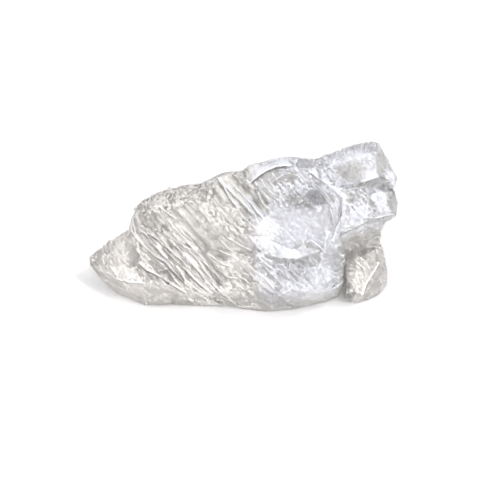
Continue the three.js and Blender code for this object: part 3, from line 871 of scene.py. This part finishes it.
frost_and_painted_light = m.step(frost_and_painted_light, 0.1, 0.8)
print("frost is a sum of 16 shares")

# %% [markdown]
# ## Where it is murky or shaded
# Light that goes deep and does not come back leaves a grey to olive tone in cracks and in random specks and
# blades. The same olive is painted as shade: in creases, on the darker patches, on the foot of each ridge,
# and as a dark outline at the rim, where the surface turns away from the eye. Layer Weight finds the rim.

# %% Murk and painted shade
# a painted dark outline where the surface turns away from the eye
grazing = m.step(m.add("ShaderNodeLayerWeight", None, {"Blend": 0.5}, 1), 0.72, 0.95)
# painted shade: shade, dark, crevice and grazing; the stone's own tone: crack and the random specks and
# blades
murk_and_shade = (
    shade * 0.2
    + dark * 0.4
    + crack * 0.5
    + crevice * 0.3
    + grazing * 0.6
    + m.step(blade, -0.26, -0.3) * (0.03 + striped * 0.27)
    + m.step(fine_pick, 0.2, 0.16) * (0.05 + broken * 0.35 + shade * 0.3)
    + m.step(speck, 0.44, 0.40) * (0.15 + broken * 0.2 + shade * 0.2)
).clamped()
print("murk is a sum of 8 shares, kept between 0 and 1")

# %% [markdown]
# ## The clear stone
# Clear petalite bends light like a weak glass. The clear shader has full transmission and petalite's index,
# and it is rough enough that the floor does not show through as a sharp picture. Murk and painted shade
# tint it olive.

# %% Clear shader
PETALITE_IOR = 1.51
CLEAN, OLIVE = (1.0, 1.0, 1.0), (0.62, 0.585, 0.525)
clear = m.add(
    "ShaderNodeBsdfPrincipled",
    None,
    {
        "Base Color": m.blend(murk_and_shade, CLEAN, OLIVE),
        "Roughness": 0.28 + m.step(mottle, 0.4, 0.7) * 0.1,
        "IOR": PETALITE_IOR,
        "Transmission Weight": 1.0,
        "Normal": bump,
    },
)
print("index of refraction:", PETALITE_IOR)

# %% [markdown]
# ## The tone of the frost
# The frosted skin is a warm white on the left and low down, and a cooler one on the blocky end and the
# bright ridges. One mask mixes the two, from the place on the stone and from the painted light: the cool
# tint on the bright ridges is painted highlight, and the warmer tint low down, in the recess and on the
# darker patches is painted shade.

# %% Warm and cool frost
WARM, COOL = (0.77, 0.75, 0.725), (0.715, 0.73, 0.78)
east, up = m.dot(place, (1.0, 0.0, 0.0)), m.dot(place, (0.0, 0.0, 1.0))
# cooler on the painted highlights of the ridges, warmer in painted shade, low down and in the recess
cool = (
    m.step(east + (milk - 0.5) * 10.0, -1.0, 6.0)
    + bright * 0.5
    - shade
    - m.step(up, 3.5, 0.5) * 0.6
    - m.step(east, 13.0, 15.0) * m.step(up, 11.0, 9.0)
).clamped()
# murk and painted shade darken the frost too
chalk = m.vector("SCALE", m.blend(cool, WARM, COOL), Scale=1.0 - murk_and_shade * 0.35)
print("frost from", WARM, "to", COOL)

# %% [markdown]
# ## The frosted shader
# Under frost, light wanders a few millimetres and comes out again. Subsurface scattering does that. It is
# still a polished mineral, so the frost keeps a tight gloss, and this gives the small sparkles.

# %% Frosted shader
frost = m.add(
    "ShaderNodeBsdfPrincipled",
    {"subsurface_method": "RANDOM_WALK"},
    {
        "Base Color": chalk,
        "Roughness": 0.14,
        "IOR": PETALITE_IOR,
        "Normal": bump,
        "Subsurface Weight": 1.0,
        "Subsurface Radius": (1.0, 1.0, 1.0),
        "Subsurface Scale": 2.0 * MM,
    },
)
print("light wanders about 2 mm under the frost")

# %% [markdown]
# ## Mix and absorb
# The frost mask mixes the two shaders. Inside the body a Volume Absorption node takes a little blue out of
# the light for each millimetre it travels, so thick parts are warmer than thin ones.

# %% Mix the two and fill the inside
TINT, DENSITY = (0.80, 0.775, 0.725, 1.0), 16.0  # the density is per metre
surface = m.add("ShaderNodeMixShader", None, {0: frost_and_painted_light, 1: clear, 2: frost})
absorb = m.add("ShaderNodeVolumeAbsorption", None, {"Color": TINT, "Density": DENSITY})
out = petalite.node_tree.nodes.new("ShaderNodeOutputMaterial")
petalite.node_tree.links.new(surface.output, out.inputs["Surface"])
petalite.node_tree.links.new(absorb.output, out.inputs["Volume"])
print("nodes in the material:", len(petalite.node_tree.nodes))

# %% [markdown]
# ## Run the tree
# The modifier's inputs are set by their identifiers, then the whole stack is worked out once and kept as a
# plain mesh. A Decimate modifier goes last: it keeps the faces at the steps and thins them on flat ground.

# %% Turn the modifiers into a mesh
KEEP = 0.37  # the part of the faces that stays
cleave = stone.modifiers.new("cleavage", "NODES")
cleave.node_group = tree
ids = {i.name: i.identifier for i in tree.interface.items_tree if i.in_out == "INPUT"}
for name, value in {**INPUTS, "Ridges": lines, "Material": petalite}.items():
    cleave[ids[name]] = value
fewer = stone.modifiers.new("fewer faces", "DECIMATE")
fewer.ratio = KEEP
depsgraph = bpy.context.evaluated_depsgraph_get()
body = bpy.data.meshes.new_from_object(stone.evaluated_get(depsgraph))
stone.modifiers.clear()
bpy.data.objects.remove(lines)
print("faces after the tree:", len(body.polygons))

# %% [markdown]
# ## Take out crumbs
# A voxel remesh can leave a few closed specks inside a body. They would show as bubbles in a clear stone,
# and they would be stray pieces in the mesh. Walking from corner to corner gathers what hangs together. All
# but the largest group goes.

# %% Keep only the main body
def crumbs(bm):
    """The corners that are not joined to the main body."""
    unseen, groups = set(bm.verts), []
    while unseen:
        reached = [unseen.pop()]
        for corner in reached:
            for edge in corner.link_edges:
                other = edge.other_vert(corner)
                if other in unseen:
                    unseen.remove(other)
                    reached.append(other)
        groups.append(reached)
    main = max(groups, key=len)
    return [corner for group in groups if group is not main for corner in group]


bm = bmesh.new()
bm.from_mesh(body)
loose = crumbs(bm)
bmesh.ops.delete(bm, geom=loose, context="VERTS")
bm.to_mesh(body)
bm.free()
print("loose corners taken out:", len(loose))

# %% [markdown]
# ## Shade it and put it in place
# Where two faces turn by less than 28 degrees they are shaded as one, and all other edges stay crisp, as on
# a broken mineral. The stone rides on the root body and stands in for the plain solid.

# %% Crisp edges, and the stone's place in the model
CRISP = math.radians(28)
stone.data = body
body.shade_smooth()
body.set_sharp_from_angle(angle=CRISP)
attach(stone, "root")
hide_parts("crystal")
print("body triangles:", sum(len(p.vertices) - 2 for p in body.polygons))

# %% [markdown]
# ## The floor
# A clear stone shows what it stands on, so the floor is a plain pale matte sheet with nothing on it to see.
# It lies a tenth of a millimetre under the foot, so that the two do not share a plane.

# %% Floor
FLOOR_GAP = 0.1 * MM
bpy.ops.mesh.primitive_plane_add(size=4.0, location=(0, 0, -FLOOR_GAP))
floor = bpy.context.object
floor.name = "floor"
paint = bpy.data.materials.new("floor")
paint.use_nodes = True
paint.node_tree.nodes["Principled BSDF"].inputs["Base Color"].default_value = (0.9, 0.9, 0.9, 1)
paint.node_tree.nodes["Principled BSDF"].inputs["Roughness"].default_value = 1.0
floor.data.materials.append(paint)
print("floor:", floor.dimensions.x, "m wide")

# %% [markdown]
# ## The sky
# Glass is seen by what it mirrors and bends. A white tent would be too even, so the sky goes from a warm
# pale tone at the table to a cooler one overhead, and each facet picks its own tone from it.

# %% Sky
LOW_SKY, HIGH_SKY = (0.83, 0.80, 0.77, 1.0), (0.87, 0.87, 0.90, 1.0)
world = bpy.data.worlds.new("studio")
bpy.context.scene.world = world
world.use_nodes = True
w = Nodes(world.node_tree)
background = world.node_tree.nodes["Background"]
way = w.add("ShaderNodeSeparateXYZ", None, {0: w.add("ShaderNodeTexCoord", out=0)}, 2)
height = w.step(way, 0.0, 0.85)
sky = w.add("ShaderNodeMix", {"data_type": "RGBA"}, {0: height, 6: LOW_SKY, 7: HIGH_SKY}, 2)
world.node_tree.links.new(sky.output, background.inputs["Color"])
background.inputs["Strength"].default_value = 0.87
print("sky from", LOW_SKY[:3], "to", HIGH_SKY[:3])

# %% [markdown]
# ## Lamps
# Two large soft boxes light the stone gently. Six small lamps from different sides give the glints, because
# a facet sparkles only when it mirrors something small and bright. All are dim, so the floor stays even.

# %% Lamps
def softbox(name, place, size, watts, aim=(0, 0, 0)):
    """A rectangular lamp that faces a point, by default the foot of the stone."""
    data = bpy.data.lights.new(name, "AREA")
    data.shape = "RECTANGLE"
    data.size, data.size_y = size
    data.energy = watts
    data.color = (1.0, 0.99, 0.98)
    lamp = bpy.data.objects.new(name, data)
    bpy.context.scene.collection.objects.link(lamp)
    lamp.location = place
    lamp.rotation_euler = (Vector(aim) - Vector(place)).to_track_quat("-Z", "Y").to_euler()


SMALL = (0.05, 0.05)
softbox("window", (0.22, -0.10, 0.52), (0.30, 0.24), 0.42)
softbox("fill", (-0.12, -0.55, 0.14), (0.5, 0.2), 0.6, aim=(0, 0, 0.01))
softbox("lamp", (0.25, -0.215, 0.41), (0.06, 0.05), 0.5)
softbox("small lamp", (0.06, -0.45, 0.36), SMALL, 0.35)
softbox("far lamp", (0.34, 0.02, 0.38), SMALL, 0.3)
softbox("left lamp", (-0.30, -0.22, 0.36), SMALL, 0.28)
softbox("low lamp", (-0.16, -0.48, 0.20), SMALL, 0.3)
softbox("right lamp", (0.34, -0.36, 0.22), SMALL, 0.25)
print("lamps:", len(bpy.data.lights))

# %% [markdown]
# ## The camera
# The camera looks from the drawing's own angle, with a long lens so that the ends of the stone do not
# shrink much. Its distance is worked out from how many pixels a millimetre should take.

# %% Camera
FRAME_WIDTH = 500  # pixels
PIXELS_PER_MM = 6.867
AIM_ALONG, AIM_RISE = 1.02, 8.96  # mm on the drawing, at the middle of the frame
AIM_DEPTH = 6.0  # mm behind the front of the foot
LENS, SENSOR = 100.0, 36.0  # mm
aim_up = (AIM_RISE - AIM_DEPTH * math.sin(SIGHT)) / math.cos(SIGHT)
target = Vector((AIM_ALONG, AIM_DEPTH - FRONT_ROW, aim_up)) * MM
distance = FRAME_WIDTH / PIXELS_PER_MM * MM * LENS / SENSOR
view = bpy.data.cameras.new("camera")
view.lens, view.sensor_width = LENS, SENSOR
view.clip_start, view.clip_end = 0.01, 10
camera = bpy.data.objects.new("camera", view)
bpy.context.scene.collection.objects.link(camera)
camera.location = target + Vector((0, -math.cos(SIGHT), math.sin(SIGHT))) * distance
camera.rotation_euler = (math.radians(90) - SIGHT, 0, 0)
bpy.context.scene.camera = camera
bpy.context.scene.view_settings.view_transform = "Standard"
print("camera", round(distance / MM), "mm away")

# %% [markdown]
